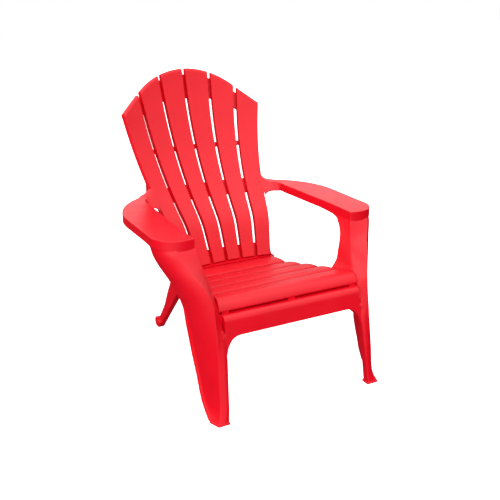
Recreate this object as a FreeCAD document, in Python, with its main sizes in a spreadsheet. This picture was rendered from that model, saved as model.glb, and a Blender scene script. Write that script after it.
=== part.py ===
import FreeCAD, Part
import Sketcher
import math
import os

# A stackable resin adirondack chair, moulded in one piece, in millimetres.
# X runs across the chair, +X on the sitter's left. Y runs from the front feet to the back. Z runs up.
# The moulding is divided into its own members: slats, webs, rails, arms, legs and foot pads.
# Every member is thin-walled, and members touch face to face where the moulding runs on.

Vector = FreeCAD.Vector
X_AXIS = Vector(1, 0, 0)
Z_AXIS = Vector(0, 0, 1)
doc = FreeCAD.newDocument("adirondack_chair")
sheet = doc.addObject("Spreadsheet::Sheet", "dims")

# name, value: lengths in mm, angles in degrees, tapers in mm per mm
DIMENSIONS = [
    ("centre_depth", 429.2),      # the middle of the chair, behind the front of its feet
    ("wall", 4),
    ("back_start_depth", 503),    # where the back's front surface starts
    ("back_start_height", 290),
    ("back_straight", 121.8),     # its straight stretch above the seat
    ("back_recline", 23.8),
    ("lumbar_radius", 175),       # above that it bends further back
    ("lumbar_recline", 46.7),
    ("back_roll_radius", 829),    # and then it rolls towards upright
    ("back_hollow", 0.00063),     # it wraps forward by this times the square of x
    ("slat_depth", 20),
    ("slat_gap", 13),
    ("slat_bottom", 303),
    ("slat_pitch", 56.2),         # at the slats' bottom
    ("slat_spread", 0.0564),      # growth of the pitch along the slats
    ("crown_height", 928),
    ("crown_radius", 278),
    ("crown_sweep", 38.7),        # where the arc runs into straight shoulders
    ("crest_height", 820),        # lower edge of the web behind the crown, in the middle
    ("crest_half_width", 205),
    ("crest_drop", 70),           # how far its lower edge drops at the sides
    ("back_half_width", 165),     # at the slats' bottom
    ("back_spread", 0.1605),      # its growth along the slats
    ("seat_half_width", 233),
    ("seat_width_depth", 110),    # depth where seat_half_width is measured
    ("seat_taper", 0.172),
    ("seat_slat_width", 75),
    ("seat_slat_depth", 16),
    ("seat_slat_crown", 150),     # radius of a seat slat's top
    ("front_roll", 42),           # radius of the waterfall edge
    ("front_roll_inside", 38),
    ("apron_half_width", 236),
    ("apron_half_arch", 187),
    ("arch_radius", 52),
    ("apron_shoulder", 20),
    ("apron_shoulder_inside", 16),
    ("rail_thickness", 4.5),
    ("rib_offset", 82),
    ("arm_height", 530),
    ("arm_rim", 28),
    ("front_pad", 8),
    ("heel_radius", 20),
    ("heel_inner_side", 162),
    ("heel_width", 26),
    ("pad_flare", 18),
    ("tab_width", 22),
    ("lug_width", 9),
    ("lug_height", 26),
]
for row, (name, value) in enumerate(DIMENSIONS, start=1):
    sheet.set("A%d" % row, name)
    sheet.set("B%d" % row, str(value))
    sheet.setAlias("B%d" % row, name)
doc.recompute()


def size(name):
    return float(sheet.get(name))


WALL = size("wall")
SIDES = (("left", 1), ("right", -1))
nodes = []


def spot(x, y, z):
    """A point of the chair. y is counted from the front of the feet."""
    return Vector(x, y - size("centre_depth"), z)


def keep(item, label):
    item.Label = label
    nodes.append(item)
    return item


def free_form(label, shape):
    """A member with a shape that sketches and primitives don't give."""
    item = doc.addObject("Part::Feature", label)
    item.Shape = shape
    item.Placement = FreeCAD.Placement()
    return keep(item, label)


def on_side(shape, side):
    if side > 0:
        return shape
    return shape.mirror(Vector(0, 0, 0), X_AXIS)


# ---- sketches whose corners are sums of sheet values ----

def number(terms):
    return sum(factor * size(name) for factor, name in terms)


def formula(terms):
    return " + ".join("%.6f * dims.%s" % (factor, name) for factor, name in terms)


def plain(value):
    """A length that follows the wall and no other dimension."""
    return [(value / WALL, "wall")]


RIGHT = 1
LEFT = -1


def arc_middle(start, end, radius, bulge):
    """The middle of an arc that bulges to one side of the way from start to end."""
    chord = end - start
    sag = radius - math.sqrt(radius * radius - chord.Length ** 2 / 4)
    right = Vector(chord.y, -chord.x, 0).normalize()
    return (start + end) * 0.5 + right * (sag * bulge)


def outline(body, name, plane, corners, arcs=None):
    """A closed, fully constrained sketch. arcs gives radius and bulge of the arc that leaves a corner."""
    arcs = arcs or {}
    sketch = body.newObject("Sketcher::SketchObject", name)
    support = next(f for f in body.Origin.OriginFeatures if f.Role == plane)
    sketch.AttachmentSupport = [(support, "")]
    sketch.MapMode = "FlatFace"
    points = [Vector(number(x), number(y), 0) for x, y in corners]
    starts = []
    for index, start in enumerate(points):
        end = points[(index + 1) % len(points)]
        place = 1
        if index in arcs:
            radius, bulge = arcs[index]
            middle = arc_middle(start, end, size(radius), bulge)
            edge = sketch.addGeometry(Part.ArcOfCircle(start, middle, end))
            if (sketch.getPoint(edge, 1) - start).Length > (sketch.getPoint(edge, 2) - start).Length:
                place = 2
            bend = sketch.addConstraint(Sketcher.Constraint("Radius", edge, size(radius)))
            sketch.setExpression("Constraints[%d]" % bend, "dims.%s" % radius)
        else:
            edge = sketch.addGeometry(Part.LineSegment(start, end))
        starts.append((edge, place))
    for index, (edge, place) in enumerate(starts):
        next_edge, next_place = starts[(index + 1) % len(starts)]
        sketch.addConstraint(Sketcher.Constraint("Coincident", edge, 3 - place, next_edge, next_place))
        for kind, terms in zip(("DistanceX", "DistanceY"), corners[index]):
            held = sketch.addConstraint(Sketcher.Constraint(kind, -1, 1, edge, place, number(terms)))
            sketch.setExpression("Constraints[%d]" % held, formula(terms))
    return sketch


def body_named(label, position, axis=X_AXIS, angle=0):
    body = doc.addObject("PartDesign::Body", label)
    body.Placement = FreeCAD.Placement(position, FreeCAD.Rotation(axis, angle))
    return keep(body, label)


def pad(body, sketch, terms, side_type="One side", backwards=False):
    feature = body.newObject("PartDesign::Pad", "Pad")
    feature.Profile = sketch
    feature.setExpression("Length", formula(terms))
    feature.SideType = side_type
    feature.Reversed = backwards
    return feature


def cut_through(body, sketch):
    feature = body.newObject("PartDesign::Pocket", "Pocket")
    feature.Profile = sketch
    feature.Type = "ThroughAll"
    feature.SideType = "Symmetric"
    return feature


def plain_corners(points):
    return [(plain(x), plain(y)) for x, y in points]


# ---- the back: slats and webs cut from one rolled and wrapped slab ----

def along_back(lean):
    """The way up the back where it leans by this angle."""
    return Vector(0, math.sin(lean), math.cos(lean))


def behind(lean):
    """The way straight through the back where it leans by this angle."""
    return Vector(0, math.cos(lean), -math.sin(lean))


RECLINE = math.radians(size("back_recline"))
LUMBAR = math.radians(size("lumbar_recline"))
ROLL_END = math.radians(4)
LUMBAR_RADIUS = size("lumbar_radius")
ROLL_RADIUS = size("back_roll_radius")
BACK_START = Vector(0, size("back_start_depth"), size("back_start_height"))
BACK_BEND = BACK_START + along_back(RECLINE) * size("back_straight")
LUMBAR_CENTRE = BACK_BEND + behind(RECLINE) * LUMBAR_RADIUS
ROLL_CENTRE = LUMBAR_CENTRE - behind(LUMBAR) * (LUMBAR_RADIUS + ROLL_RADIUS)


def back_run(height):
    """How far up the back this height is, counted along the back from the slats' bottom."""
    start = (BACK_BEND.z - size("slat_bottom")) / math.cos(RECLINE)
    if height <= BACK_BEND.z:
        return (height - size("slat_bottom")) / math.cos(RECLINE)
    if height <= ROLL_CENTRE.z - ROLL_RADIUS * math.sin(LUMBAR):
        return start + LUMBAR_RADIUS * (math.asin((height - LUMBAR_CENTRE.z) / LUMBAR_RADIUS) - RECLINE)
    lean = math.asin((ROLL_CENTRE.z - height) / ROLL_RADIUS)
    return start + LUMBAR_RADIUS * (LUMBAR - RECLINE) + ROLL_RADIUS * (LUMBAR - lean)


def back_line(depth, wrap):
    """The back's straight run and two arcs, depth behind the front surface, from low to high."""
    low = BACK_START - along_back(RECLINE) * 40 + behind(RECLINE) * depth + wrap
    bend = BACK_BEND + behind(RECLINE) * depth + wrap
    lumbar = [LUMBAR_CENTRE + wrap - behind(lean) * (LUMBAR_RADIUS - depth)
              for lean in ((RECLINE + LUMBAR) / 2, LUMBAR)]
    roll = [ROLL_CENTRE + wrap + behind(lean) * (ROLL_RADIUS + depth)
            for lean in ((LUMBAR + ROLL_END) / 2, ROLL_END)]
    return low, bend, lumbar, roll


def back_section(near, far, x):
    """The slab between two depths behind the back's front surface, cut at one x."""
    wrap = spot(x, -size("back_hollow") * x * x, 0)
    low, bend, lumbar, roll = back_line(near, wrap)
    low_far, bend_far, lumbar_far, roll_far = back_line(far, wrap)
    return Part.Wire([
        Part.LineSegment(low, bend).toShape(),
        Part.Arc(bend, lumbar[0], lumbar[1]).toShape(),
        Part.Arc(lumbar[1], roll[0], roll[1]).toShape(),
        Part.LineSegment(roll[1], roll_far[1]).toShape(),
        Part.Arc(roll_far[1], roll_far[0], lumbar_far[1]).toShape(),
        Part.Arc(lumbar_far[1], lumbar_far[0], bend_far).toShape(),
        Part.LineSegment(bend_far, low_far).toShape(),
        Part.LineSegment(low_far, low).toShape()])


def back_slab(near, far):
    reach = back_half(size("crown_height")) + 10
    return Part.makeLoft([back_section(near, far, reach * f) for f in (-1, -0.5, 0, 0.5, 1)], True)


def front_prism(edges):
    """A solid with this outline in front view that runs right through the chair."""
    face = Part.Face(Part.Wire(edges))
    face.translate(Vector(0, -1000, 0))
    return face.extrude(Vector(0, 2000, 0))


def lines(points):
    return [Part.LineSegment(a, b).toShape() for a, b in zip(points, points[1:])]


def back_half(height):
    """Half the back's width at one height."""
    return size("back_half_width") + back_run(height) * size("back_spread")


def divider(n, height):
    """Where the middle of the n-th gap runs, counted from the chair's middle."""
    return n * (size("slat_pitch") + back_run(height) * size("slat_spread"))


def rising_edge(x_at, low, high):
    """A smooth edge in front view through x_at(height), from low to high."""
    heights = [low + (high - low) * i / 8 for i in range(9)]
    curve = Part.BSplineCurve()
    curve.interpolate([Vector(x_at(z), 0, z) for z in heights])
    return curve.toShape()


def slat_strip(n, inset):
    """The front outline of the n-th slat from the middle, crown left out."""
    low = size("slat_bottom") + inset
    high = size("crown_height") + 10
    margin = size("slat_gap") / 2 + inset

    def inner(height):
        return divider(n - 1, height) + margin

    def outer(height):
        if n == 3:
            return back_half(height) - inset
        return divider(n, height) - margin

    bottom = lines([Vector(inner(low), 0, low), Vector(outer(low), 0, low)])
    top = lines([Vector(outer(high), 0, high), Vector(inner(high), 0, high)])
    return front_prism([rising_edge(inner, low, high)] + bottom + [rising_edge(outer, low, high)] + top)


def below_crown(drop):
    """Everything below the crown's arc and its straight shoulders, lowered by drop."""
    sweep = math.radians(size("crown_sweep"))
    radius = size("crown_radius")
    top = Vector(0, 0, size("crown_height") - drop)
    right = Vector(radius * math.sin(sweep), 0, top.z - radius * (1 - math.cos(sweep)))
    left = Vector(-right.x, 0, right.z)
    shoulder = Vector(120, 0, -120 * math.tan(sweep))
    right_end = right + shoulder
    left_end = Vector(-right_end.x, 0, right_end.z)
    floor = 200
    edges = lines([right, right_end, Vector(right_end.x, 0, floor), Vector(left_end.x, 0, floor),
                   left_end, left])
    return front_prism([Part.Arc(left, top, right).toShape()] + edges)


def back_slat(n):
    """A tray that is open to the rear."""
    depth = size("slat_depth")
    shell = back_slab(0, depth).common(slat_strip(n, 0)).common(below_crown(0))
    hollow = back_slab(WALL, depth + 10).common(slat_strip(n, WALL)).common(below_crown(WALL))
    return shell.cut(hollow)


def back_web(band):
    """A web behind the slats, inside an outline given in front view."""
    depth = size("slat_depth")
    return back_slab(depth, depth + WALL).common(front_prism(band)).common(below_crown(depth + 2))


def straight_band(low, high):
    """The back's whole width between two heights."""
    def half(height):
        return back_half(height) - WALL

    def edge(side):
        return rising_edge(lambda height: side * half(height), low, high)

    bottom = lines([Vector(-half(low), 0, low), Vector(half(low), 0, low)])
    top = lines([Vector(-half(high), 0, high), Vector(half(high), 0, high)])
    return bottom + [edge(1)] + top + [edge(-1)]


def crest_band():
    """From the crown down to a lower edge that drops towards the sides."""
    reach = size("crest_half_width")
    places = [reach * i / 6 for i in range(-6, 7)]
    lower = Part.BSplineCurve()
    lower.interpolate([Vector(x, 0, size("crest_height") - size("crest_drop") * abs(x / reach) ** 3)
                       for x in places])
    low = lower.StartPoint.z
    high = size("crown_height")
    right = [Vector(reach, 0, low), Vector(reach, 0, high)]
    left = [Vector(-reach, 0, high), Vector(-reach, 0, low)]
    return [lower.toShape()] + lines(right + left)


BACK_WEBS = {
    "back_lower_web": (290, 340),
    "back_middle_web": (496, 541),
    "back_upper_web": (649, 665),
}


def build_back():
    for n in (1, 2, 3):
        slat = back_slat(n)
        free_form("back_slat_%d" % (4 - n), on_side(slat, -1))
        free_form("back_slat_%d" % (3 + n), slat)
    for label, (low, high) in BACK_WEBS.items():
        free_form(label, back_web(straight_band(low, high)))
    free_form("back_crest_web", back_web(crest_band()))


# ---- the seat: slats, lip, rails and ribs ----

# front depth, front height and rear height of the top edges of seat slats 2 to 5
PLAIN_SEAT_SLATS = [
    (165.5, 346.5, 333.5),
    (248.0, 331.5, 317.5),
    (330.5, 315.5, 299.5),
    (413.0, 298.5, 296.5),
]
SEAT_BACK_EDGE = 492


def half_width(depth, side):
    """Half of the seat's width at one depth, as sheet terms."""
    return [(side, "seat_half_width"), (side * (size("seat_width_depth") - depth), "seat_taper")]


def trim_ends(body, front, rear, origin):
    """Cuts a slat's ends along the sides of the tapering seat."""
    for label, side in SIDES:
        near, far = plain(front - origin), plain(rear - origin)
        outside = [(1.6 * side, "seat_half_width")]
        corners = [(half_width(front, side), near), (outside, near), (outside, far),
                   (half_width(rear, side), far)]
        cut_through(body, outline(body, "end_" + label, "XY_Plane", corners))


def plain_seat_slat(label, front, front_height, rear_height):
    """A crowned channel, open below."""
    width = size("seat_slat_width")
    middle = spot(0, front + width / 2, (front_height + rear_height) / 2)
    tilt = math.degrees(math.atan2(rear_height - front_height, width))
    body = body_named(label, middle, X_AXIS, tilt)
    front_side, rear_side = [(-0.5, "seat_slat_width")], [(0.5, "seat_slat_width")]
    front_inside, rear_inside = front_side + [(1, "wall")], rear_side + [(-1, "wall")]
    rim, top, ceiling = [(-1, "seat_slat_depth")], [(0, "wall")], [(-1, "wall")]
    corners = [(rear_side, rim), (rear_side, top), (front_side, top), (front_side, rim),
               (front_inside, rim), (front_inside, ceiling), (rear_inside, ceiling), (rear_inside, rim)]
    crowned = {1: ("seat_slat_crown", RIGHT), 5: ("seat_slat_crown", LEFT)}
    section = outline(body, "channel", "YZ_Plane", corners, crowned)
    pad(body, section, [(2.2, "seat_half_width")], "Symmetric")
    trim_ends(body, front - 6, front + width + 6, front + width / 2)


def front_seat_slat():
    """The waterfall slat: its top rolls down over the front edge."""
    body = body_named("seat_slat_1", spot(0, 0, 0))
    corners = plain_corners([(158.5, 332), (158.5, 348.5), (108, 359), (70, 328),
                             (74.5, 328), (108, 355), (154.5, 345), (154.5, 332)])
    rolled_edge = {1: ("seat_slat_crown", RIGHT), 2: ("front_roll", RIGHT),
                   4: ("front_roll_inside", LEFT), 5: ("seat_slat_crown", LEFT)}
    section = outline(body, "waterfall", "YZ_Plane", corners, rolled_edge)
    pad(body, section, [(2.2, "seat_half_width")], "Symmetric")
    trim_ends(body, 50, 170, 0)


def seat_back_lip():
    """The narrow ledge between the last seat slat and the back's lower web."""
    front, rear, top = SEAT_BACK_EDGE, 560, 299
    corners = []
    for side in (1, -1):
        for depth in (front, rear):
            corners.append(spot(side * number(half_width(depth, 1)), depth, top - WALL))
    plan = [corners[0], corners[1], corners[3], corners[2], corners[0]]
    ledge = Part.Face(Part.Wire(lines(plan))).extrude(Z_AXIS * WALL)
    drop = 12
    reach = number(half_width(front + WALL, 1))
    front_wall = Part.makeBox(2 * reach, WALL, drop, Vector(-reach, corners[0].y, corners[0].z - drop))
    depth = size("slat_depth")
    ledge = ledge.cut(back_slab(depth, depth + 80))
    free_form("seat_back_lip", ledge.fuse(front_wall).removeSplitter().Solids[0])


RAIL_FRONT = 190
RAIL_OUTLINE = [(190, 238), (504.2, 189), (504.2, 288), (409, 291), (327, 309), (190, 334)]


def seat_rail(label, side):
    """A panel along the seat's tapering side, outside the ends of the slats."""
    taper = math.atan(size("seat_taper"))
    start = spot(side * number(half_width(RAIL_FRONT, 1)), RAIL_FRONT, 0)
    body = body_named("seat_rail_" + label, start, Z_AXIS, side * math.degrees(taper))
    stretch = 1 / math.cos(taper)
    corners = plain_corners([((y - RAIL_FRONT) * stretch, z) for y, z in RAIL_OUTLINE])
    panel = outline(body, "panel", "YZ_Plane", corners)
    pad(body, panel, [(1, "rail_thickness")], "One side", side < 0)


RIB_TOP = [(486, 279.5), (412, 281.5), (404, 282.5), (323, 300.5), (240, 316.4),
           (165, 330), (158.5, 332), (154.5, 332), (90, 317), (80, 317)]
RIB_BELOW = [(80, 300), (240, 285), (486, 245)]


def seat_rib(label, side):
    """A stiffening rib below the slats, from the apron to the seat's back edge."""
    middle = spot(side * size("rib_offset"), 0, 0)
    body = body_named("seat_rib_" + label, middle)
    pad(body, outline(body, "panel", "YZ_Plane", plain_corners(RIB_TOP + RIB_BELOW)),
        [(1, "wall")], "Symmetric")


def front_apron():
    """The panel below the front slat: a rolled shoulder, a leaning face and an arched lower edge."""
    body = body_named("front_apron", spot(0, 0, 0))
    corners = plain_corners([(90, 321), (70, 321), (50, 306), (36, 205),
                             (40, 205), (54, 305), (70, 317), (90, 317)])
    shoulder = {1: ("apron_shoulder", LEFT), 5: ("apron_shoulder_inside", RIGHT)}
    section = outline(body, "panel", "YZ_Plane", corners, shoulder)
    pad(body, section, [(2, "apron_half_width")], "Symmetric")
    low, springing, top = plain(150), plain(207), plain(258)
    foot, arch = [(1, "apron_half_width"), (-1, "wall")], [(1, "apron_half_arch")]
    other_foot, other_arch = ([(-factor, name) for factor, name in terms] for terms in (foot, arch))
    opening = [(foot, low), (foot, springing), (arch, top),
               (other_arch, top), (other_foot, springing), (other_foot, low)]
    arches = {1: ("arch_radius", RIGHT), 3: ("arch_radius", RIGHT)}
    cut_through(body, outline(body, "arch", "XZ_Plane", opening, arches))


def slot_tab(label, x):
    """A bridge over the slot between the front slat and the apron."""
    tab = doc.addObject("Part::Box", label)
    tab.setExpression("Length", "dims.tab_width")
    tab.setExpression("Width", "2 * dims.wall")
    tab.Height = 7
    tab.Placement.Base = spot(x - size("tab_width") / 2, 70.5, 321)
    keep(tab, label)


def build_seat():
    front_seat_slat()
    for index, (front, front_height, rear_height) in enumerate(PLAIN_SEAT_SLATS, start=2):
        plain_seat_slat("seat_slat_%d" % index, front, front_height, rear_height)
    seat_back_lip()
    front_apron()
    for label, side in SIDES:
        seat_rail(label, side)
        seat_rib(label, side)
    reach = size("seat_half_width") - size("tab_width") / 2
    for label, x in (("left", reach), ("centre", 0), ("right", -reach)):
        slot_tab("slot_tab_" + label, x)


# ---- the arms ----

def arm_outline():
    """The arm in plan, on the sitter's left, at height 0."""
    def at(x, y):
        return spot(x, y, 0)

    inner_front, front_inner = at(273, 172), at(282, 162)
    front_outer, outer_front = at(338, 167), at(380, 240)
    outer_rear, tail = at(380, 430), at(266, 646)
    root_rear, root_far, root_near = at(246, 666), at(205, 670), at(205, 621)
    root_front, inner_bend = at(240, 614), at(259, 560)
    edges = [
        Part.Arc(inner_front, at(275.5, 165), front_inner).toShape(),
        Part.Arc(front_inner, at(312, 161.5), front_outer).toShape(),
        Part.Arc(front_outer, at(368.8, 197.9), outer_front).toShape(),
        Part.LineSegment(outer_front, outer_rear).toShape(),
        Part.Arc(outer_rear, at(351, 553.5), tail).toShape(),
        Part.LineSegment(tail, root_rear).toShape(),
        Part.LineSegment(root_rear, root_far).toShape(),
        Part.LineSegment(root_far, root_near).toShape(),
        Part.LineSegment(root_near, root_front).toShape(),
        Part.Arc(root_front, at(254.5, 596), inner_bend).toShape(),
        Part.Arc(inner_bend, at(266, 400), inner_front).toShape()]
    return Part.Face(Part.Wire(edges))


def arm(label, side):
    """A plate with a rim turned down all round, ending on the back's outer slat."""
    plan = arm_outline()
    low = size("arm_height") - size("arm_rim")
    plate = plan.extrude(Z_AXIS * size("arm_rim"))
    hollow = plan.makeOffset2D(-WALL).extrude(Z_AXIS * (size("arm_rim") - WALL))
    shell = plate.cut(hollow)
    shell.translate(Z_AXIS * low)
    slat = back_slab(-60, size("slat_depth") + 60).common(slat_strip(3, 0))
    free_form("arm_" + label, on_side(shell.cut(slat).Solids[0], side))


# ---- the front legs: curtains that widen from the foot to the arm ----

# height, then inner rear, inner front, nose and outer rear corners as (x, depth)
LEG_STATIONS = [
    (8, (248, 22), (249, 1), (281, 1), (290, 38)),
    (45, (246, 27), (246, 4), (272, 12), (288, 90)),
    (110, (243, 38), (243, 14), (270, 19), (288, 120)),
    (170, (239, 50), (239, 24), (268, 26), (290, 148)),
    (222, (236, 62), (236, 36), (266, 33), (296, 159)),
    (262, (220, 190), (238, 48), (265, 38), (300, 160)),
    (305, (220, 190), (240, 64), (265, 46), (307, 166)),
    (340, (220, 190), (240, 82), (265, 51), (316, 184)),
    (360, (228, 188), (242, 106), (267, 57), (323, 191)),
    (385, (238, 184), (246, 115), (274, 70), (332, 198)),
    (420, (249, 187), (254, 130), (291, 96), (351, 220)),
    (455, (258, 197), (261, 145), (313, 129), (366, 235)),
    (485, (267, 225), (267, 156), (331, 152), (375, 243)),
    (502, (272, 290), (273, 166), (340, 168), (380, 250)),
]
LEG_BULGE = 0.13


def leg_path(station):
    """The curtain's outer line at one height, with a corner between nose and rear that rounds it."""
    height, *corners = station
    inner_rear, inner_front, nose, outer_rear = (spot(x, y, height) for x, y in corners)
    side = outer_rear - nose
    outward = Vector(side.y, -side.x, 0) * (LEG_BULGE * height / size("arm_height"))
    return [inner_rear, inner_front, nose, nose + side * 0.5 + outward, outer_rear]


def offset_path(points, distance):
    """The same open line, moved to the left of its own way by distance."""
    moved = []
    for index, point in enumerate(points):
        before = points[max(index - 1, 0)]
        after = points[min(index + 1, len(points) - 1)]
        ways = [(point - before), (after - point)]
        normals = [Vector(-w.y, w.x, 0).normalize() for w in ways if w.Length > 0]
        total = sum(normals[1:], normals[0])
        moved.append(point + total * (2 * distance / total.Length ** 2 if len(normals) == 2 else distance))
    return moved


def leg_section(station):
    path = leg_path(station)
    inside = offset_path(path, WALL)
    ring = path + inside[::-1]
    return Part.makePolygon(ring + ring[:1])


def front_leg(label, side):
    sections = [leg_section(station) for station in LEG_STATIONS]
    spans = [Part.makeLoft([low, high], True, True) for low, high in zip(sections, sections[1:])]
    shell = on_side(spans[0].fuse(spans[1:]).removeSplitter().Solids[0], side)
    free_form("front_leg_" + label, shell)
    return shell


# ---- the rear legs ----

# height, front depth, rear depth, inner x, outer x
REAR_LEG_STATIONS = [
    (30, 690.4, 726.6, 163, 183),
    (60, 662, 702, 164, 183),
    (116, 609, 656, 165, 185),
    (180, 548, 614, 166, 188),
    (230, 505, 579, 166, 190),
    (290, 505, 541, 166, 190),
]


def rear_leg_solid(wall):
    """The leg as a loft, or what fills it when wall is above 0: it is open on its inner side."""
    sections = []
    for height, front, rear, inner, outer in REAR_LEG_STATIONS:
        low_x, high_x = inner - wall, outer - wall
        corners = [spot(low_x, front + wall, height), spot(high_x, front + wall, height),
                   spot(high_x, rear - wall, height), spot(low_x, rear - wall, height)]
        sections.append(Part.makePolygon(corners + corners[:1]))
    return Part.makeLoft(sections, True, True)


def rear_leg(label, side):
    shell = rear_leg_solid(0).cut(rear_leg_solid(WALL))
    free_form("rear_leg_" + label, on_side(shell.Solids[0], side))


# ---- foot pads and stacking lugs ----

FRONT_SOLE = [(245, -4), (286, -4), (299, 34), (292, 48), (245, 28)]
HEEL_OUTLINE = [(690.4, 30), (718, 0), (735.2, 0), (720.8, 37.2), (726.8, 30)]


def front_foot(label, side):
    """A pad that flares down to its sole."""
    body = body_named(label, spot(0, 0, 0))
    plan = outline(body, "sole", "XY_Plane", plain_corners([(side * x, y) for x, y in FRONT_SOLE]))
    sole = pad(body, plan, [(1, "front_pad")])
    sole.TaperAngle = -size("pad_flare")


def heel(label, side):
    """The rear foot: the end of the leg, with a round heel behind it."""
    inner = size("heel_inner_side")
    body = body_named(label, spot(side * inner, 0, 0))
    section = outline(body, "heel", "YZ_Plane", plain_corners(HEEL_OUTLINE), {2: ("heel_radius", RIGHT)})
    pad(body, section, [(1, "heel_width")], "One side", side < 0)


def stacking_lug(label, side, leg):
    """A small block on the front of the leg that the next chair rests on."""
    width, height, depth, proud = size("lug_width"), size("lug_height"), 3 * WALL, 5
    block = Part.makeBox(width, depth, height, Vector(-width / 2, -proud, -height / 2))
    block = block.makeFillet(2, [edge for edge in block.Edges if edge.BoundBox.YMax < 1 - proud])
    block.rotate(Vector(), X_AXIS, -18)
    block.rotate(Vector(), Z_AXIS, -20)
    block.translate(spot(244, 48, 268))
    pieces = on_side(block, side).cut(leg).Solids
    free_form("stacking_lug_" + label, min(pieces, key=lambda piece: piece.CenterOfMass.y))


def build_limbs():
    for label, side in SIDES:
        arm(label, side)
        stacking_lug(label, side, front_leg(label, side))
        rear_leg(label, side)
        front_foot("front_foot_" + label, side)
        heel("rear_foot_" + label, side)


def check_and_write():
    doc.recompute()
    for item in doc.Objects:
        if "Invalid" in item.State or "Error" in item.State:
            raise RuntimeError("%s did not compute: %s" % (item.Name, item.State))
    os.makedirs("parts", exist_ok=True)
    for item in nodes:
        shape = item.Shape
        if shape.isNull() or not shape.isValid() or not shape.Solids:
            raise RuntimeError("%s has no valid solid" % item.Label)
        shape.exportStep("parts/%s.step" % item.Label)


build_back()
build_seat()
build_limbs()
check_and_write()
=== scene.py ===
import math
import bpy
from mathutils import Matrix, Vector


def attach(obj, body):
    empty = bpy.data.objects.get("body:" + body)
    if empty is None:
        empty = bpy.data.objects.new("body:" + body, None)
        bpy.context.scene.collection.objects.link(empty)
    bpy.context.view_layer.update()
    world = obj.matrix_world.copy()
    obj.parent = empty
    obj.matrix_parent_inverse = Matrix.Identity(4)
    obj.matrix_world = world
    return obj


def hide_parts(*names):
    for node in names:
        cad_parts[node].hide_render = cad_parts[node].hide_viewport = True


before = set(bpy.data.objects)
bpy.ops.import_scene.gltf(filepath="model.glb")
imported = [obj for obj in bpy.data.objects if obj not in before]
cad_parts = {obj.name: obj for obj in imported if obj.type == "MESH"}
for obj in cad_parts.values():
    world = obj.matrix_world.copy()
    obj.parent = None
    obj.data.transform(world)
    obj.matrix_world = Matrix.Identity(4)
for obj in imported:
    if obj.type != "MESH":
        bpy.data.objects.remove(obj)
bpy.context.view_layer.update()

# The chair is described in millimetres from the front of its feet, as a moulder would draw it,
# and place() turns that into the frame's metres. +X is the sitter's left, Y runs to the back.
CENTRE_DEPTH = 429.2
WALL = 4.0
SIDES = {"left": 1, "right": -1}


def place(x, y, z):
    return Vector((x, y - CENTRE_DEPTH, z)) / 1000


def mix(a, b, share):
    return a + (b - a) * share


def along(curve, height):
    """The (x, y) of a smooth curve given as (height, x, y) rows, rising."""
    heights = [row[0] for row in curve]
    if height <= heights[0]:
        return Vector(curve[0][1:])
    if height >= heights[-1]:
        return Vector(curve[-1][1:])
    index = max(i for i, h in enumerate(heights) if h <= height)
    share = (height - heights[index]) / (heights[index + 1] - heights[index])
    here, there = Vector(curve[index][1:]), Vector(curve[index + 1][1:])

    def slope(i):
        if i in (0, len(curve) - 1):
            j = min(i, len(curve) - 2)
            return (Vector(curve[j + 1][1:]) - Vector(curve[j][1:])) / (heights[j + 1] - heights[j])
        rise = heights[i + 1] - heights[i - 1]
        return (Vector(curve[i + 1][1:]) - Vector(curve[i - 1][1:])) / rise

    step = heights[index + 1] - heights[index]
    a, b = slope(index) * step, slope(index + 1) * step
    s2, s3 = share ** 2, share ** 3
    return (here * (2 * s3 - 3 * s2 + 1) + a * (s3 - 2 * s2 + share)
            + there * (3 * s2 - 2 * s3) + b * (s3 - s2))


def arc(start, via, end, count):
    """count + 1 points on the circle through three (x, y) points, from start to end."""
    (ax, ay), (bx, by), (cx, cy) = start, via, end
    d = 2 * (ax * (by - cy) + bx * (cy - ay) + cx * (ay - by))
    ux = ((ax**2 + ay**2) * (by - cy) + (bx**2 + by**2) * (cy - ay) + (cx**2 + cy**2) * (ay - by)) / d
    uy = ((ax**2 + ay**2) * (cx - bx) + (bx**2 + by**2) * (ax - cx) + (cx**2 + cy**2) * (bx - ax)) / d
    radius = math.hypot(ax - ux, ay - uy)
    first, last = math.atan2(ay - uy, ax - ux), math.atan2(cy - uy, cx - ux)
    turn = math.remainder(last - first, math.tau)
    middle = math.remainder(math.atan2(by - uy, bx - ux) - first, math.tau)
    if turn * middle < 0:
        turn -= math.copysign(math.tau, turn)
    angles = [first + turn * i / count for i in range(count + 1)]
    return [(ux + radius * math.cos(t), uy + radius * math.sin(t)) for t in angles]


def line(start, end, count):
    return [(mix(start[0], end[0], i / count), mix(start[1], end[1], i / count)) for i in range(count + 1)]


def joined(*runs):
    """Runs of points end to end, with each shared point once."""
    points = list(runs[0])
    for run in runs[1:]:
        points += run[1:]
    return points


# ---- meshes ----

def mesh_piece(name, points, faces):
    mesh = bpy.data.meshes.new(name)
    mesh.from_pydata([tuple(p) for p in points], [], faces)
    mesh.update()
    mesh.polygons.foreach_set("use_smooth", [True] * len(mesh.polygons))
    piece = bpy.data.objects.new(name, mesh)
    bpy.context.scene.collection.objects.link(piece)
    return piece


def grid_faces(columns, rows, at, flip=False):
    """Quads between the points that at(column, row) numbers."""
    faces = []
    for r in range(rows - 1):
        for c in range(columns - 1):
            quad = [at(c, r), at(c + 1, r), at(c + 1, r + 1), at(c, r + 1)]
            faces.append(quad[::-1] if flip else quad)
    return faces


def rounded(piece, radius, segments=3, angle=35):
    bevel = piece.modifiers.new("round", "BEVEL")
    bevel.width = radius / 1000
    bevel.segments = segments
    bevel.limit_method = "ANGLE"
    bevel.angle_limit = math.radians(angle)
    bevel.miter_outer = "MITER_ARC"
    return bevel


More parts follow.
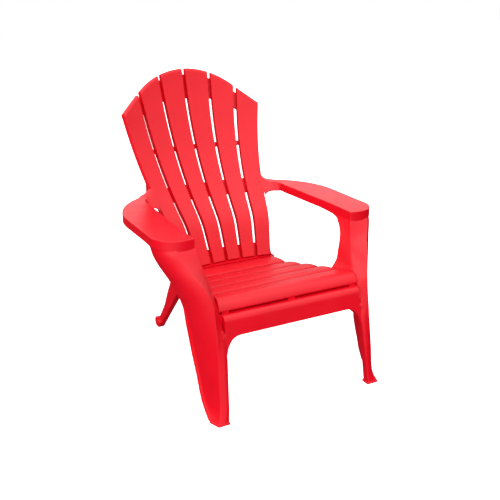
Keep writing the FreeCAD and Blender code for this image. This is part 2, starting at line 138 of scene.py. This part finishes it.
def thickened(piece, thickness=WALL):
    """A moulded wall of even thickness, inside the surface, with softened rims."""
    solid = piece.modifiers.new("wall", "SOLIDIFY")
    solid.thickness = thickness / 1000
    solid.offset = -1
    solid.use_even_offset = True
    rounded(piece, 0.9, 2, 60)


def finished(piece, material, nodes):
    """The finish that every piece gets: even shading, its material, its body, and its CAD nodes hidden."""
    normals = piece.modifiers.new("normals", "WEIGHTED_NORMAL")
    normals.keep_sharp = False
    piece.data.materials.append(material)
    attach(piece, "root")
    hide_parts(*nodes)
    return piece


def tray(name, face, rim, flip=False):
    """A face, given as rows of points, with a wall all round down to the rim's matching points."""
    rows, columns = len(face), len(face[0])
    points = [p for row in face for p in row]
    faces = grid_faces(columns, rows, lambda c, r: r * columns + c, flip)
    border = [(0, c) for c in range(columns)]
    border += [(r, columns - 1) for r in range(1, rows)]
    border += [(rows - 1, c) for c in range(columns - 2, -1, -1)]
    border += [(r, 0) for r in range(rows - 2, 0, -1)]
    first = len(points)
    points += [rim(r, c) for r, c in border]
    for i, (r, c) in enumerate(border):
        j = (i + 1) % len(border)
        quad = [r * columns + c, first + i, first + j, border[j][0] * columns + border[j][1]]
        faces.append(quad[::-1] if flip else quad)
    return mesh_piece(name, points, faces)


# ---- material: glossy moulded polypropylene ----

def resin(name, stipple, waviness, roughness):
    """Saturated red resin: mould texture, slow waviness and slightly uneven gloss."""
    material = bpy.data.materials.new(name)
    material.use_nodes = True
    tree = material.node_tree
    shader = tree.nodes["Principled BSDF"]
    shader.inputs["IOR"].default_value = 1.49
    where = tree.nodes.new("ShaderNodeTexCoord").outputs["Object"]

    def noise(scale, detail, rough=0.5):
        node = tree.nodes.new("ShaderNodeTexNoise")
        node.inputs["Scale"].default_value = scale
        node.inputs["Detail"].default_value = detail
        node.inputs["Roughness"].default_value = rough
        tree.links.new(where, node.inputs["Vector"])
        return node.outputs["Fac"]

    def ramp(value, low, high):
        node = tree.nodes.new("ShaderNodeMapRange")
        node.inputs["From Min"].default_value = 0.3
        node.inputs["From Max"].default_value = 0.7
        node.inputs["To Min"].default_value = low
        node.inputs["To Max"].default_value = high
        tree.links.new(value, node.inputs["Value"])
        return node.outputs["Result"]

    colour = tree.nodes.new("ShaderNodeMix")
    colour.data_type = "RGBA"
    colour.inputs["A"].default_value = (0.78, 0.0008, 0.0120, 1)
    colour.inputs["B"].default_value = (0.86, 0.0016, 0.0150, 1)
    tree.links.new(ramp(noise(7, 3), 0, 1), colour.inputs["Factor"])
    tree.links.new(colour.outputs["Result"], shader.inputs["Base Color"])
    tree.links.new(ramp(noise(22, 4, 0.6), roughness - 0.04, roughness + 0.05), shader.inputs["Roughness"])

    fine = tree.nodes.new("ShaderNodeBump")
    fine.inputs["Distance"].default_value = stipple / 1000
    fine.inputs["Strength"].default_value = 1
    tree.links.new(noise(900, 2), fine.inputs["Height"])
    slow = tree.nodes.new("ShaderNodeBump")
    slow.inputs["Distance"].default_value = waviness / 1000
    slow.inputs["Strength"].default_value = 1
    tree.links.new(noise(18, 1), slow.inputs["Height"])
    tree.links.new(slow.outputs["Normal"], fine.inputs["Normal"])
    tree.links.new(fine.outputs["Normal"], shader.inputs["Normal"])
    return material


SMOOTH = resin("resin_smooth", 0.03, 0.25, 0.34)
GRAINED = resin("resin_grained", 0.10, 0.35, 0.42)


# ---- the back ----

SEAT_LEAN = math.radians(23.8)
LUMBAR_LEAN = math.radians(46.7)
BACK_START = (503, 290)
LUMBAR_HEIGHT = 401.4
LUMBAR_RADIUS = 175
ROLL_RADIUS = 829
SLAT_DEPTH = 20
SLAT_BOTTOM = 303
SLAT_PITCH, SLAT_SPREAD = 56.2, 0.0564
HALF_GAP = 6.3
BACK_HALF_WIDTH, BACK_SPREAD = 165, 0.1605
LOW_HOLLOW, HIGH_HOLLOW = 0.0006, 0.00078
CROWN_HEIGHT = 928
CROWN_RADIUS = 278
CROWN_SWEEP = math.radians(38.7)
CROWN_ROLL = 13
LUMBAR_DEPTH = BACK_START[0] + (LUMBAR_HEIGHT - BACK_START[1]) * math.tan(SEAT_LEAN)
LUMBAR_CENTRE = (LUMBAR_DEPTH + LUMBAR_RADIUS * math.cos(SEAT_LEAN),
                 LUMBAR_HEIGHT - LUMBAR_RADIUS * math.sin(SEAT_LEAN))
ROLL_CENTRE = (LUMBAR_CENTRE[0] - (LUMBAR_RADIUS + ROLL_RADIUS) * math.cos(LUMBAR_LEAN),
               LUMBAR_CENTRE[1] + (LUMBAR_RADIUS + ROLL_RADIUS) * math.sin(LUMBAR_LEAN))
ROLL_START = ROLL_CENTRE[1] - ROLL_RADIUS * math.sin(LUMBAR_LEAN)


def back_line(z):
    """The back's middle line at one height: its depth, its lean and its length from the slats' bottom."""
    straight = (LUMBAR_HEIGHT - SLAT_BOTTOM) / math.cos(SEAT_LEAN)
    if z <= LUMBAR_HEIGHT:
        y = BACK_START[0] + (z - BACK_START[1]) * math.tan(SEAT_LEAN)
        return y, SEAT_LEAN, (z - SLAT_BOTTOM) / math.cos(SEAT_LEAN)
    if z <= ROLL_START:
        lean = math.asin((z - LUMBAR_CENTRE[1]) / LUMBAR_RADIUS)
        y = LUMBAR_CENTRE[0] - LUMBAR_RADIUS * math.cos(lean)
        return y, lean, straight + LUMBAR_RADIUS * (lean - SEAT_LEAN)
    lean = math.asin((ROLL_CENTRE[1] - z) / ROLL_RADIUS)
    bent = straight + LUMBAR_RADIUS * (LUMBAR_LEAN - SEAT_LEAN)
    y = ROLL_CENTRE[0] + ROLL_RADIUS * math.cos(lean)
    return y, lean, bent + ROLL_RADIUS * (LUMBAR_LEAN - lean)


def back_point(x, z, depth=0):
    """The point of the back at this place in front view, sunk behind its front surface by depth."""
    y, lean, _ = back_line(z)
    hollow = mix(LOW_HOLLOW, HIGH_HOLLOW, max(0, min(1, (z - 580) / 200)))
    behind = Vector((1.6 * hollow * x, 1, -math.tan(lean))).normalized()
    return place(x, y - hollow * x * x, z) + behind * (depth / 1000)


def divider(n, z):
    """The middle of the n-th gap from the chair's middle."""
    return n * (SLAT_PITCH + back_line(z)[2] * SLAT_SPREAD)


def outer_edge(z):
    """Half the back's width at one height."""
    return BACK_HALF_WIDTH + back_line(z)[2] * BACK_SPREAD + max(0, 322 - z) * 0.25


def crown(x, drop=0):
    """The height of the crown line above x."""
    end = CROWN_RADIUS * math.sin(CROWN_SWEEP)
    reach = min(abs(x), end)
    fall = CROWN_RADIUS - math.sqrt(CROWN_RADIUS ** 2 - reach ** 2)
    return CROWN_HEIGHT - drop - fall - max(abs(x) - end, 0) * math.tan(CROWN_SWEEP)


def slat_place(n, across, up, below_crown):
    """The front view place on the n-th slat from the middle, by shares of its width and height."""
    z = mix(SLAT_BOTTOM, CROWN_HEIGHT, up)
    for _ in range(8):
        outer = outer_edge(z) if n == 3 else divider(n, z) - HALF_GAP
        x = mix(divider(n - 1, z) + HALF_GAP, outer, across)
        z = mix(SLAT_BOTTOM, crown(x) - below_crown, up)
    return x, z


def back_slat(n, side):
    """A tray open to the rear, whose top edge rolls back."""
    columns, plain_rows, roll_rows = 7, 34, 6
    rows = [(r / (plain_rows - 1), CROWN_ROLL, 0) for r in range(plain_rows)]
    for r in range(1, roll_rows + 1):
        turn = math.radians(60) * r / roll_rows
        rows.append((1, CROWN_ROLL * (1 - math.sin(turn)), CROWN_ROLL * (1 - math.cos(turn))))
    places = [[slat_place(n, c / (columns - 1), up, drop) + (sink,) for c in range(columns)]
              for up, drop, sink in rows]
    face = [[back_point(side * x, z + sink * math.sin(back_line(z)[1]), sink) for x, z, sink in row]
            for row in places]

    def rim(r, c):
        x, z, _ = places[r][c]
        return back_point(side * x, z, SLAT_DEPTH)

    number = 3 + n if side > 0 else 4 - n
    piece = tray("slat_back_%d" % number, face, rim, flip=side < 0)
    rounded(piece, 3.6, 4)
    thickened(piece)
    finished(piece, GRAINED, ["back_slat_%d" % number])


def back_web(name, low, high, reach=300):
    """A band behind the slats between two heights, which are functions of x."""
    rows, columns = 5, 33
    points = []
    for r in range(rows):
        for c in range(columns):
            share = 2 * c / (columns - 1) - 1
            z = low(0)
            for _ in range(6):
                x = share * min(outer_edge(z) - WALL, reach)
                z = mix(low(x), high(x), r / (rows - 1))
            points.append(back_point(x, z + SLAT_DEPTH * math.sin(back_line(z)[1]), SLAT_DEPTH))
    piece = mesh_piece(name, points, grid_faces(columns, rows, lambda c, r: r * columns + c))
    thickened(piece)
    finished(piece, SMOOTH, [name.replace("web_", "back_") + "_web"])


BACK_WEBS = [("web_lower", 290, 340), ("web_middle", 496, 541), ("web_upper", 649, 665)]
CREST_HEIGHT, CREST_DROP, CREST_REACH = 820, 70, 205


def back():
    for side in SIDES.values():
        for n in (1, 2, 3):
            back_slat(n, side)
    for name, low, high in BACK_WEBS:
        back_web(name, lambda x: low, lambda x: high)
    back_web("web_crest", lambda x: CREST_HEIGHT - CREST_DROP * abs(x / CREST_REACH) ** 3,
             lambda x: crown(x, 24), CREST_REACH)


# ---- the seat ----

def half_width(y):
    return 233 - 0.172 * (y - 110)


# front depth, front height and rear height of the plain slats
SEAT_SLATS = {2: (165.5, 346.5, 333.5), 3: (248, 331.5, 317.5),
              4: (330.5, 315.5, 299.5), 5: (413, 298.5, 296.5)}
SEAT_SLAT_DEPTH = 75


def seat_tray(name, profile, depth, node, end_gap=0):
    """A slat whose top follows the profile, (y, z) from front to rear, with walls turned in by depth."""
    columns = 25
    normals = []
    for i in range(len(profile)):
        (y0, z0), (y1, z1) = profile[max(i - 1, 0)], profile[min(i + 1, len(profile) - 1)]
        size = math.hypot(y1 - y0, z1 - z0)
        normals.append((-(z1 - z0) / size, (y1 - y0) / size))

    def at(i, c, sink):
        y, z = profile[i]
        share = 2 * c / (columns - 1) - 1
        x = share * (half_width(y) - end_gap)
        return place(x, y - normals[i][0] * sink, z - normals[i][1] * sink)

    face = [[at(i, c, 0) for c in range(columns)] for i in range(len(profile))]
    piece = tray(name, face, lambda r, c: at(r, c, depth))
    rounded(piece, 3, 3)
    thickened(piece)
    finished(piece, GRAINED, [node])


def seat():
    for number, (front, front_height, rear_height) in SEAT_SLATS.items():
        rear = front + SEAT_SLAT_DEPTH
        middle = (front + SEAT_SLAT_DEPTH / 2, (front_height + rear_height) / 2 + 4.4)
        profile = arc((front, front_height), middle, (rear, rear_height), 10)
        seat_tray("slat_seat_%d" % number, profile, 16, "seat_slat_%d" % number, 0.5)
    waterfall = joined(arc((70, 328), (80.5, 350.5), (108, 359), 9),
                       arc((108, 359), (134, 355.5), (158.5, 348.5), 5))
    seat_tray("slat_seat_1", waterfall, 14, "seat_slat_1", -3)


# ---- arms and front legs: one shell a side, from the arm's top down to the foot ----

ARM_TOP = 530
RIM_BOTTOM = 502
# width and rise of the fillets where an arm runs into the back
UPPER_FILLET = (24, 33)
LOWER_FILLET = (34, -22)

# height, x and y of the leg shell's four long edges
INNER_REAR = [(8, 248, 22), (45, 246, 27), (110, 243, 38), (170, 239, 50), (222, 236, 62), (234, 229, 118),
              (246, 222, 176), (262, 220, 190), (340, 220, 190), (356, 229, 187), (377, 237, 184),
              (404, 242, 186), (426, 247, 188), (453, 255, 197), (472, 261, 211), (485, 265.5, 227),
              (492, 269, 238), (498, 270.5, 259), (502, 271.5, 297), (505, 271.5, 340)]
INNER_FRONT = [(8, 249, 1), (45, 246, 4), (110, 243, 14), (170, 239, 24), (222, 236, 36), (262, 238, 48),
               (305, 240, 64), (340, 240, 82), (360, 242, 105), (385, 246, 115), (420, 254, 130),
               (455, 261, 145), (485, 267, 156), (505, 271.5, 165.5)]
NOSE = [(8, 281, 1), (45, 272, 12), (110, 270, 19), (170, 268, 26), (222, 266, 33), (262, 265, 38),
        (305, 265, 46), (340, 265, 51), (360, 267, 57), (385, 274, 70), (420, 291, 96),
        (455, 313, 129), (485, 331, 152), (505, 338, 167)]
OUTER_REAR = [(8, 291, 38), (45, 288, 90), (110, 288, 120), (170, 290, 146), (225, 295, 157),
              (262, 300, 160), (305, 307, 168), (340, 315, 182),
              (367, 325, 192), (396, 337, 203), (418, 348, 214),
              (441, 360, 227), (471, 372, 239), (498, 378, 246), (505, 380, 250)]
LEG_HEIGHTS = (8, 26, 45, 75, 110, 140, 170, 196, 222, 234, 246, 262, 285, 305, 322, 340, 350, 360, 372,
               385, 402, 420, 437, 453, 465, 475, 485, 491, 496, 499.5)
INNER_COLUMNS, FRONT_COLUMNS, OUTER_COLUMNS = 9, 7, 10

INNER_EDGE = [(165.5, 271.5, 0), (300, 272, 0), (400, 266.5, 0), (500, 262, 0), (560, 258.5, 0)]


def arm_plan():
    """The arm in plan: its inner side, front and outer side, as (x, y) from front to rear."""
    depths = [165.5 + 174.5 * i / INNER_COLUMNS for i in range(INNER_COLUMNS)]
    depths += [340 + 220 * i / 11 for i in range(12)]
    inner = [(along(INNER_EDGE, y)[0], y) for y in depths]
    inner = joined(inner, arc((258.5, 560), (255.5, 594), (243, 612.5), 6),
                   line((243, 612.5), (204, 625), 8))
    front = arc((271.5, 165.5), (304, 161), (338, 167), FRONT_COLUMNS)
    outer = joined(arc((338, 167), (368.8, 197.9), (380, 250), OUTER_COLUMNS),
                   line((380, 250), (380, 430), 6),
                   arc((380, 430), (351, 553.5), (266, 646), 12),
                   arc((266, 646), (244, 663), (204, 671), 8))
    return inner, front, outer


def arm_point(x, y, z):
    """A point of the arm: at the back it leans like the back, and its end is sunk behind the face."""
    if y < 590:
        return x, y, z
    lean = max(0, min(1, (262 - x) / 12))
    buried = max(0, min(1, (outer_edge(z) + 2 - x) / 8))
    return x, y + lean * (z - 517) * math.tan(back_line(z)[1]) + 3 * buried, z


def fillet_rise(x, height, wide, tall):
    """How far the arm's edge has turned up or down where it runs into the back's side."""
    reach = max(x - outer_edge(height + tall / 2), 0) / wide
    return abs(tall) * (1 - math.sqrt(1 - (1 - reach) ** 2)) if reach < 1 else 0


def leg_row(z):
    """The leg shell's outer skin at one height, from its inner rear edge round to its outer rear edge."""
    edges = (INNER_REAR, INNER_FRONT, NOSE, OUTER_REAR)
    inner_rear, inner_front, nose, outer_rear = (along(edge, z) for edge in edges)
    row = [inner_rear.lerp(inner_front, i / INNER_COLUMNS) for i in range(INNER_COLUMNS)]
    ridge = max(0, min(1, (300 - z) / 60)) * 3.2
    for i in range(FRONT_COLUMNS):
        share = i / FRONT_COLUMNS
        proud = ridge * (share / 0.36 if share < 0.36 else (1 - share) / 0.64)
        row.append(inner_front.lerp(nose, share) + Vector((0, -proud)))
    side = outer_rear - nose
    bulge = Vector((side.y, -side.x)) * (0.26 * z / ARM_TOP)
    for i in range(OUTER_COLUMNS + 1):
        t = i / OUTER_COLUMNS
        row.append(nose + side * t + bulge * (2 * t * (1 - t)))
    lip = 7 * max(0, min(1, (330 - z) / 60))
    row.append(row[-1] + Vector((side.y, -side.x)).normalized() * lip + side.normalized() * 1.5)
    return row


def arm_and_leg(label, side):
    inner, front, outer = arm_plan()
    loop = inner[::-1] + front[1:] + outer[1:]
    count = len(loop)
    points = []

    def add(x, y, z):
        points.append(place(side * x, y, z))
        return len(points) - 1

    upper, lower = [], []
    for x, y in loop:
        rise = fillet_rise(x, ARM_TOP, *UPPER_FILLET)
        fall = fillet_rise(x, RIM_BOTTOM, *LOWER_FILLET)
        upper.append(add(*arm_point(x, y, ARM_TOP + rise)))
        lower.append(add(*arm_point(x, y, RIM_BOTTOM - fall)))
    faces = [[lower[i], lower[i + 1], upper[i + 1], upper[i]] for i in range(count - 1)]

    # the top: rows across the arm from the inner side to the outer side, the first along the front
    length = len(inner)
    rows = [[upper[length - 1 + c] for c in range(FRONT_COLUMNS + 1)]]
    for r in range(1, length):
        start, end = length - 1 - r, length - 1 + FRONT_COLUMNS + r
        a, b = points[upper[start]], points[upper[end]]
        row = [upper[start]]
        sag = max(0, 1 - r / 6)
        for c in range(1, FRONT_COLUMNS):
            share = c / FRONT_COLUMNS
            point = a.lerp(b, share)
            bow = points[rows[0][c]] - points[rows[0][0]].lerp(points[rows[0][-1]], share)
            point += bow * sag
            points.append(point)
            row.append(len(points) - 1)
        rows.append(row + [upper[end]])
    for near, far in zip(rows, rows[1:]):
        for c in range(FRONT_COLUMNS):
            faces.append([near[c], near[c + 1], far[c + 1], far[c]])

    # the leg below
    first = length - 1 - INNER_COLUMNS
    above = lower[first:first + INNER_COLUMNS + FRONT_COLUMNS + OUTER_COLUMNS + 2]
    for z in reversed(LEG_HEIGHTS):
        row = [add(p.x, p.y, z) for p in leg_row(z)]
        for c in range(len(row) - 1):
            faces.append([row[c], row[c + 1], above[c + 1], above[c]])
        above = row
    if side < 0:
        faces = [face[::-1] for face in faces]
    piece = mesh_piece("arm_and_leg_" + label, points, faces)
    rounded(piece, 3.5, 4, 40)
    thickened(piece)
    finished(piece, SMOOTH, ["arm_" + label, "front_leg_" + label])


# ---- apron, rails, ribs, rear legs, feet and lugs ----

def apron():
    """The panel below the front slat, arched at its foot."""
    sides = [187, 198, 208, 218, 228, 235, 235.6, 241]
    columns = [-x for x in reversed(sides)] + [-187 + 374 * i / 16 for i in range(1, 16)] + sides
    shoulder = joined([(90, 321), (80, 321)], arc((70, 321), (56, 316), (50, 304), 6))
    points, rows = [], 16
    for r in range(rows):
        for x in columns:
            reach = max(abs(x) - 187, 0)
            low = 258 if reach == 0 else 206 + math.sqrt(max(52 ** 2 - reach ** 2 * (52 / 46.0) ** 2, 0))
            if r < len(shoulder):
                y, z = shoulder[r]
            else:
                share = (r - len(shoulder) + 1) / (rows - len(shoulder))
                z = mix(304, low, share)
                y = mix(50, 36, (304 - z) / 99)
            groove = abs(x) > 235.5 and z > 275
            points.append(place(x, max(y, 67) if groove else y, z))
    width = len(columns)
    faces = grid_faces(width, rows, lambda c, r: r * width + c, flip=True)
    piece = mesh_piece("apron_front", points, faces)
    thickened(piece)
    finished(piece, SMOOTH, ["front_apron"])


# height, front depth, rear depth, inner x and outer x
REAR_LEG = [(30, 690.4, 726.6, 163, 183), (60, 662, 702, 164, 183), (116, 609, 656, 165, 185),
            (180, 548, 614, 166, 188), (230, 505, 579, 166, 190), (290, 505, 541, 166, 190)]


def rear_leg(label, side):
    """A channel, open on its inner side, that leans back to the heel."""
    fronts = [(z, front, inner) for z, front, rear, inner, outer in REAR_LEG]
    rears = [(z, rear, outer) for z, front, rear, inner, outer in REAR_LEG]
    rows = []
    for i in range(24):
        z = mix(30, 290, i / 23)
        (front, inner), (rear, outer) = along(fronts, z), along(rears, z)
        middle = mix(front, rear, 0.5)
        corners = ((inner, front), (outer, front), (outer, middle), (outer, rear), (inner, rear))
        rows.append([place(side * x, y, z) for x, y in corners])
    points = [p for row in rows for p in row]
    piece = mesh_piece("leg_rear_" + label, points,
                       grid_faces(5, len(rows), lambda c, r: r * 5 + c, flip=side < 0))
    rounded(piece, 4, 4)
    thickened(piece)
    finished(piece, SMOOTH, ["rear_leg_" + label])


FRONT_SOLE = [(245, -4), (286, -4), (299, 34), (292, 48), (245, 28)]
HEEL_CENTRE = (729, 19)
HEEL_RADIUS = 20


def foot(name, side, sole, height, shrink, node):
    """A pad that flares down to its sole."""
    cx = sum(x for x, y in sole) / len(sole)
    cy = sum(y for x, y in sole) / len(sole)
    top = [(mix(x, cx, shrink), mix(y, cy, shrink)) for x, y in sole]
    count = len(sole)
    points = [place(side * x, y, 0) for x, y in sole] + [place(side * x, y, height) for x, y in top]
    faces = [[i, (i + 1) % count, count + (i + 1) % count, count + i] for i in range(count)]
    faces += [list(range(count))[::-1], list(range(count, 2 * count))]
    if side < 0:
        faces = [face[::-1] for face in faces]
    piece = mesh_piece(name, points, faces)
    rounded(piece, 2.5, 3)
    finished(piece, SMOOTH, [node])


def heel(label, side):
    """The rear foot: the leg's end with a round heel behind it, in side view, rounded all over."""
    y0, z0 = HEEL_CENTRE
    round_back = [(y0 + HEEL_RADIUS * math.cos(t), z0 + HEEL_RADIUS * math.sin(t))
                  for t in (math.radians(-71 + 186 * i / 14) for i in range(15))]
    outline = [(690.4, 30), (704, 15), (718, 0)] + round_back + [(726.6, 30)]
    count = len(outline)
    points = [place(side * x, y, z) for x in (162, 188) for y, z in outline]
    faces = [[i, (i + 1) % count, count + (i + 1) % count, count + i] for i in range(count)]
    faces += [list(range(count))[::-1], list(range(count, 2 * count))]
    if side < 0:
        faces = [face[::-1] for face in faces]
    piece = mesh_piece("foot_rear_" + label, points, faces)
    rounded(piece, 3.5, 4)
    finished(piece, SMOOTH, ["rear_foot_" + label])


CAD_PARTS = ["seat_back_lip", "slot_tab_left", "slot_tab_centre", "slot_tab_right",
             "seat_rail_left", "seat_rail_right", "seat_rib_left", "seat_rib_right",
             "stacking_lug_left", "stacking_lug_right"]


def carried_over():
    """The CAD members whose shape is right get softened edges and the resin."""
    for name in CAD_PARTS:
        part = bpy.data.objects[name]
        rounded(part, 0.8, 2)
        for slot in part.material_slots:
            slot.link = "OBJECT"
            slot.material = SMOOTH


def limbs():
    apron()
    for label, side in SIDES.items():
        arm_and_leg(label, side)
        rear_leg(label, side)
        foot("foot_front_" + label, side, FRONT_SOLE, 8, 0.1, "front_foot_" + label)
        heel(label, side)


# ---- camera, floor and lights ----

def aim(thing, at):
    thing.rotation_euler = (Vector(at) - thing.location).to_track_quat("-Z", "Y").to_euler()


def camera():
    data = bpy.data.cameras.new("camera")
    data.sensor_width = 36
    data.lens = 55.57
    thing = bpy.data.objects.new("camera", data)
    thing.location = (-1.115, -2.189, 1.246)
    bpy.context.scene.collection.objects.link(thing)
    aim(thing, (0.007, -0.0785, 0.3896))
    thing.rotation_euler.rotate_axis("Z", -0.0025)
    bpy.context.scene.camera = thing


def softbox(name, location, target, size, power):
    data = bpy.data.lights.new(name, "AREA")
    data.shape = "RECTANGLE"
    data.size, data.size_y = size
    data.energy = power
    lamp = bpy.data.objects.new(name, data)
    lamp.location = location
    lamp.visible_camera = False
    bpy.context.scene.collection.objects.link(lamp)
    aim(lamp, target)


def sun(name, location, energy, angle):
    data = bpy.data.lights.new(name, "SUN")
    data.energy = energy
    data.angle = math.radians(angle)
    lamp = bpy.data.objects.new(name, data)
    lamp.location = location
    bpy.context.scene.collection.objects.link(lamp)
    aim(lamp, (0, 0, 0))
    return lamp


BEHIND_WAY, BEHIND_LIGHT = (0, 0.8, 0.6), 0.95
LEFT_WAY, LEFT_LIGHT = (-1, -0.2, 0.4), 0.35
FRONT_WAY, FRONT_LIGHT = (0.4, -0.66, 0.6), 0.9
UP = (0, 0, 1)


def surroundings():
    """Light from behind, the left and high in front, almost none from below, and white to the eye."""
    world = bpy.data.worlds.new("studio")
    bpy.context.scene.world = world
    world.use_nodes = True
    tree = world.node_tree
    way = tree.nodes.new("ShaderNodeTexCoord").outputs["Generated"]
    background = tree.nodes["Background"]
    background.inputs["Color"].default_value = (1, 1, 1, 1)

    def lobe(direction, low, high, dim, bright):
        """Light that grows from dim to bright as the way turns towards a direction."""
        dot = tree.nodes.new("ShaderNodeVectorMath")
        dot.operation = "DOT_PRODUCT"
        tree.links.new(way, dot.inputs[0])
        dot.inputs[1].default_value = Vector(direction).normalized()
        spread = tree.nodes.new("ShaderNodeMapRange")
        spread.interpolation_type = "SMOOTHSTEP"
        for socket, value in (("From Min", low), ("From Max", high), ("To Min", dim), ("To Max", bright)):
            spread.inputs[socket].default_value = value
        tree.links.new(dot.outputs["Value"], spread.inputs["Value"])
        return spread.outputs["Result"]

    def combined(operation, first, second):
        node = tree.nodes.new("ShaderNodeMath")
        node.operation = operation
        tree.links.new(first, node.inputs[0])
        tree.links.new(second, node.inputs[1])
        return node.outputs["Value"]

    total = lobe(BEHIND_WAY, -0.25, 0.75, 0.03, BEHIND_LIGHT)
    total = combined("ADD", total, lobe(LEFT_WAY, 0.1, 0.9, 0, LEFT_LIGHT))
    total = combined("ADD", total, lobe(FRONT_WAY, 0.5, 0.95, 0, FRONT_LIGHT))
    total = combined("MULTIPLY", total, lobe(UP, -0.1, 0.15, 0.03, 1))
    tree.links.new(total, background.inputs["Strength"])
    seen = tree.nodes.new("ShaderNodeBackground")
    seen.inputs["Color"].default_value = (1, 1, 1, 1)
    choice = tree.nodes.new("ShaderNodeMixShader")
    tree.links.new(tree.nodes.new("ShaderNodeLightPath").outputs["Is Camera Ray"], choice.inputs["Fac"])
    tree.links.new(background.outputs["Background"], choice.inputs[1])
    tree.links.new(seen.outputs["Background"], choice.inputs[2])
    tree.links.new(choice.outputs["Shader"], tree.nodes["World Output"].inputs["Surface"])


def studio():
    """A white floor that only the camera sees, the surroundings and the lamps."""
    reach = 15
    corners = [(-reach, -reach, 0), (reach, -reach, 0), (reach, reach, 0), (-reach, reach, 0)]
    floor = mesh_piece("floor", corners, [(0, 1, 2, 3)])
    paint = bpy.data.materials.new("floor_paint")
    paint.use_nodes = True
    shader = paint.node_tree.nodes["Principled BSDF"]
    shader.inputs["Base Color"].default_value = (0.9, 0.9, 0.9, 1)
    shader.inputs["Roughness"].default_value = 0.9
    shader.inputs["Emission Color"].default_value = (1, 1, 1, 1)
    shader.inputs["Emission Strength"].default_value = 1
    floor.data.materials.append(paint)
    floor.visible_glossy = False
    floor.visible_diffuse = False
    floor.visible_shadow = False
    surroundings()
    bpy.context.scene.view_settings.view_transform = "Standard"
    softbox("key_left", (-2.8, -0.8, 1.5), (0, 0, 0.4), (2.0, 2.0), 14)
    sun("top", (-0.5, -1, 3), 0.5, 60)
    sun("fill_front_left", (-1.3, -1.5, -0.2), 1.9, 100).visible_glossy = False
    sun("fill_below", (0, 0.4, -1), 0.5, 120).visible_glossy = False


back()
seat()
limbs()
carried_over()
camera()
studio()
